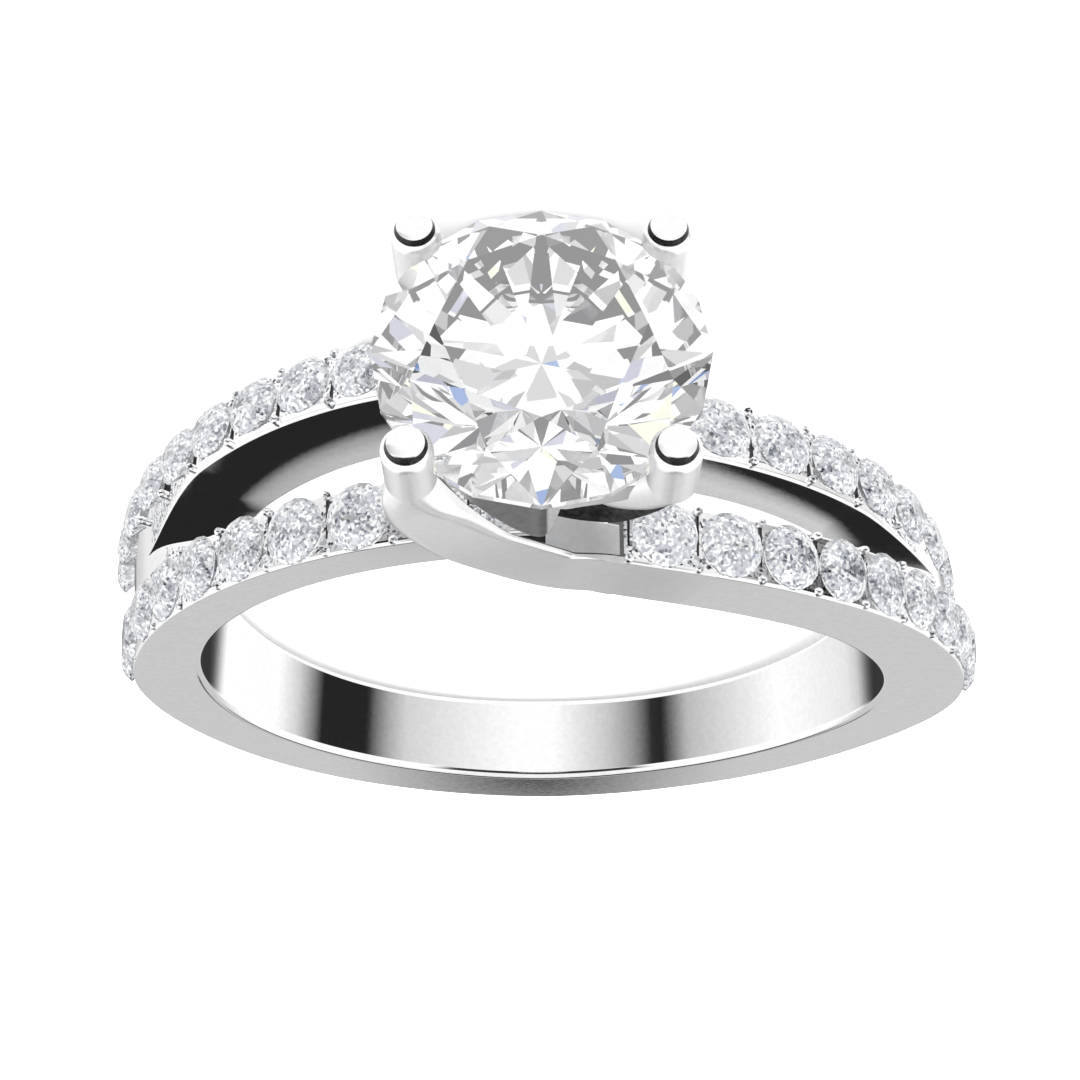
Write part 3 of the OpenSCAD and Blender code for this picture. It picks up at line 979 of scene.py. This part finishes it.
def floor_material():
    m, tree, shader = material("studio_floor")
    link = tree.links.new
    place = tree.nodes.new("ShaderNodeTexCoord")
    noise = node(tree, "ShaderNodeTexNoise", Scale=40.0)
    link(place.outputs["Object"], noise.inputs["Vector"])
    tint = ramp(tree, noise.outputs["Fac"], ((0.0, (0.93,) * 3), (1.0, (0.95,) * 3)))
    link(tint, shader.inputs["Base Color"])
    shader.inputs["Roughness"].default_value = 0.9
    return m


def floor():
    data = bpy.data.meshes.new("floor")
    corners = [(x * FLOOR_HALF, y * FLOOR_HALF, 0) for x, y in ((-1, -1), (1, -1), (1, 1), (-1, 1))]
    data.from_pydata(corners, [], [(0, 1, 2, 3)])
    obj = bpy.data.objects.new("floor", data)
    bpy.context.scene.collection.objects.link(obj)
    data.materials.append(floor_material())
    obj.visible_glossy = False
    obj.visible_transmission = False


# Sky in the upright ring's axes. Turn is the angle round the finger axis from
# the head side towards +X. Columns: turn in degrees, grey
BORE_SKY = (
    (-180, 0.30), (-160, 0.45), (-140, 0.88), (-98, 1.12), (-57, 0.55), (-51, 0.20),
    (-47, 0.02), (-42, 0.03), (-35, 0.33), (-27, 0.60), (-4, 1.12), (8, 1.12),
    (52, 0.72), (59, 0.45), (68, 0.02), (89, 0.02), (94, 0.30), (101, 0.72),
    (112, 1.12), (150, 1.12), (165, 0.40), (180, 0.30))

# Columns: degrees from straight below the band, grey; the dark step lies only
# in the middle, where the walls of the gap mirror it
MIDDLE_SKY = ((0, 0.63), (29, 0.63), (35, 0.46), (40, 0.36), (46, 0.02), (66, 0.02),
              (74, 0.90), (90, 1.0))
RIGHT_SKY = ((0, 0.63), (29, 0.63), (37, 0.68), (44, 0.52), (50, 0.02), (66, 0.02),
             (74, 0.90), (90, 1.0))
SIDE_SKY = ((0, 0.63), (28, 0.63), (50, 1.12), (90, 1.12))
WHITE = 1.12
DARK = 0.04

# Where the parts of the reflected sky fade in, as start and end of a soft step.
# Width is a direction's part across the ring, Y its part along the finger axis,
# and down its part towards the bottom of the band.
HALVES_X = (-0.02, 0.02)
SIDES_WIDTH = (0.28, 0.40)
BORE_IN_Y, BORE_OUT_Y = (0.20, 0.27), (0.47, 0.40)
UPPER_Y = (0.0, 0.1)

# The dark step of the middle sky sinks towards the sides
SINK_FROM = 0.11
SINK_RATE = 1.1
SINK_DOWN = (0.88, 0.80)

# Dark card towards the bottom of the band
UNDER_Y, UNDER_DOWN = (0.03, 0.12), (0.80, 0.93)

# Dark card towards the head, cut off on a slant; the hole's edge mirrors it
OVER_IN_Y, OVER_OUT_Y = (-0.62, -0.46), (0.19, 0.13)
OVER_SLANT = 0.45
OVER_HIGH, OVER_WIDTH = (0.10, 0.30), (0.66, 0.50)

# Small dark card that only the front wall at the bottom of the band mirrors
SPOT_IN_Y, SPOT_OUT_Y = (-0.60, -0.32), (-0.262, -0.276)
SPOT_WIDTH, SPOT_DOWN = (0.13, 0.0), (0.70, 0.90)
SPOT_GREY = 0.03

# Cells of the sky that light the stones. Columns: share of the cells, colour
STONE_SKY = (
    (0.00, (1.15, 1.15, 1.15)), (0.42, (0.66, 0.66, 0.67)), (0.63, (1.15, 1.15, 1.15)),
    (0.73, (0.44, 0.44, 0.45)), (0.84, (0.62, 0.63, 0.76)), (0.91, (1.10, 1.09, 0.88)),
    (0.94, (0.05, 0.05, 0.06)), (0.975, (0.20, 0.36, 0.74)), (0.985, (1.1, 1.1, 1.1)))


def grey_stops(table):
    """Stops of a ramp over the cosine of the table's angles."""
    return [(cos(radians(a)), (g, g, g)) for a, g in reversed(table)]


def product(tree, first, *others):
    for other in others:
        first = calc(tree, "MULTIPLY", first, other)
    return first


def reflected_sky(tree, x, y, z):
    """Grey of the sky as polished metal sees it."""
    turn = calc(tree, "ARCTAN2", x, z)
    share = calc(tree, "MULTIPLY_ADD", turn, 1 / math.tau, 0.5)
    bore = ramp(tree, share, [(t / 360 + 0.5, (g, g, g)) for t, g in BORE_SKY])
    down = calc(tree, "MULTIPLY", z, -1.0)
    width = calc(tree, "ABSOLUTE", x)
    outer = calc(tree, "MAXIMUM", calc(tree, "SUBTRACT", width, SINK_FROM), 0.0)
    low = calc(tree, "SUBTRACT", down, product(tree, outer, SINK_RATE,
                                               rise(tree, down, *SINK_DOWN)))
    middle = blended(tree, rise(tree, x, *HALVES_X), ramp(tree, low, grey_stops(MIDDLE_SKY)),
                     ramp(tree, low, grey_stops(RIGHT_SKY)))
    front = blended(tree, rise(tree, width, *SIDES_WIDTH), middle,
                    ramp(tree, down, grey_stops(SIDE_SKY)))
    window = product(tree, rise(tree, y, *BORE_IN_Y), rise(tree, y, *BORE_OUT_Y))
    shade = blended(tree, window, blended(tree, rise(tree, y, *UPPER_Y), front, WHITE), bore)
    under = product(tree, rise(tree, y, *UNDER_Y), rise(tree, down, *UNDER_DOWN))
    shade = blended(tree, under, shade, DARK)
    slanted = calc(tree, "MULTIPLY_ADD", width, OVER_SLANT, z)
    over = product(tree, rise(tree, y, *OVER_IN_Y), rise(tree, y, *OVER_OUT_Y),
                   rise(tree, slanted, *OVER_HIGH), rise(tree, width, *OVER_WIDTH))
    shade = blended(tree, over, shade, DARK)
    spot = product(tree, rise(tree, width, *SPOT_WIDTH), rise(tree, y, *SPOT_IN_Y),
                   rise(tree, down, *SPOT_DOWN), rise(tree, y, *SPOT_OUT_Y))
    return blended(tree, spot, shade, SPOT_GREY)


def stone_sky(tree, direction):
    """Cells of white, grey and a few faint colours, as cut stones see the sky."""
    pick, _ = cell_values(tree, direction, STONE_CELLS)
    return ramp(tree, pick, STONE_SKY, "CONSTANT")


def sky():
    """White studio with grey and dark cards, seen in reflections and in the stones."""
    world = bpy.data.worlds.new("studio")
    bpy.context.scene.world = world
    world.use_nodes = True
    tree = world.node_tree
    place = tree.nodes.new("ShaderNodeTexCoord")
    axes = [axis_dot(tree, place.outputs["Generated"], axis) for axis in (X_AXIS, Y_AXIS, Z_AXIS)]
    path = tree.nodes.new("ShaderNodeLightPath")
    seen = blended(tree, path.outputs["Is Transmission Ray"], reflected_sky(tree, *axes),
                   stone_sky(tree, place.outputs["Generated"]))
    seen = blended(tree, path.outputs["Is Diffuse Ray"], seen, FLOOR_LIGHT)
    seen = blended(tree, path.outputs["Is Camera Ray"], seen, 1.0)
    background = tree.nodes["Background"]
    background.inputs["Strength"].default_value = 1.0
    tree.links.new(seen, background.inputs["Color"])


def lamp():
    """Broad soft lamp over the ring."""
    data = bpy.data.lights.new("soft_lamp", "AREA")
    data.shape = "DISK"
    data.size = LAMP_SIZE
    data.energy = LAMP_POWER
    obj = bpy.data.objects.new("soft_lamp", data)
    obj.location = LAMP_AT
    obj.rotation_euler = (-Vector(LAMP_AT)).to_track_quat("-Z", "Y").to_euler()
    obj.visible_glossy = False
    obj.visible_transmission = False
    bpy.context.scene.collection.objects.link(obj)


def camera():
    data = bpy.data.cameras.new("camera")
    data.sensor_width = 36.0
    data.lens = FOCAL_PX / FRAME_PX * data.sensor_width
    data.clip_start = 0.001
    data.clip_end = 10.0
    obj = bpy.data.objects.new("camera", data)
    bpy.context.scene.collection.objects.link(obj)
    aim = turned("X", 90 - CAMERA_DOWN)
    turn = RING_TO_ROW.to_3x3().normalized() @ aim.to_3x3()
    obj.matrix_world = Matrix.LocRotScale(RING_TO_ROW @ Vector(CAMERA_AT), turn.to_quaternion(),
                                          None)
    bpy.context.scene.camera = obj


def build_metal():
    """The ring's metal as one piece, its finishes in the order of their numbers."""
    FINISHES.extend((
        # Finishes in order: polished, satin painted darker as shade, near-black painted shade, cut
        # metal with painted glints, grey painted shade, soft.
        polished_metal(), even_metal("satin_metal_painted_darker", 0.68, 0.74, 0.35),
        even_metal("painted_dark_shade_metal", 0.02, 0.06, 0.4, grain=9000.0), cut_metal(),
        even_metal("painted_grey_shade_metal", 0.50, 0.60, 0.30), soft_metal()))
    body = cut(cut(shank().mesh("shank"), seats(0).mesh("cut_a")), seats(1).mesh("cut_b"))
    parts = [body] + [make().mesh(make.__name__)
                      for make in (ledge, prongs, gallery, collars, head_base, bridge, claws)]
    with bpy.context.temp_override(active_object=body, selected_editable_objects=parts):
        bpy.ops.object.join()
    smooth(body)
    body.name = body.data.name = "polished_ring"
    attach(body, "root")
    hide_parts("ring_metal")
    body.visible_glossy = False


def dress_stones():
    large, small = diamond(), small_diamond()
    for name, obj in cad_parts.items():
        if "diamond" in name:
            obj.data.materials.clear()
            obj.data.materials.append(large if name == "centre_diamond" else small)
            obj.visible_glossy = name == "centre_diamond"


build_metal()
dress_stones()
floor()
sky()
lamp()
camera()
bpy.context.scene.view_settings.view_transform = "Standard"
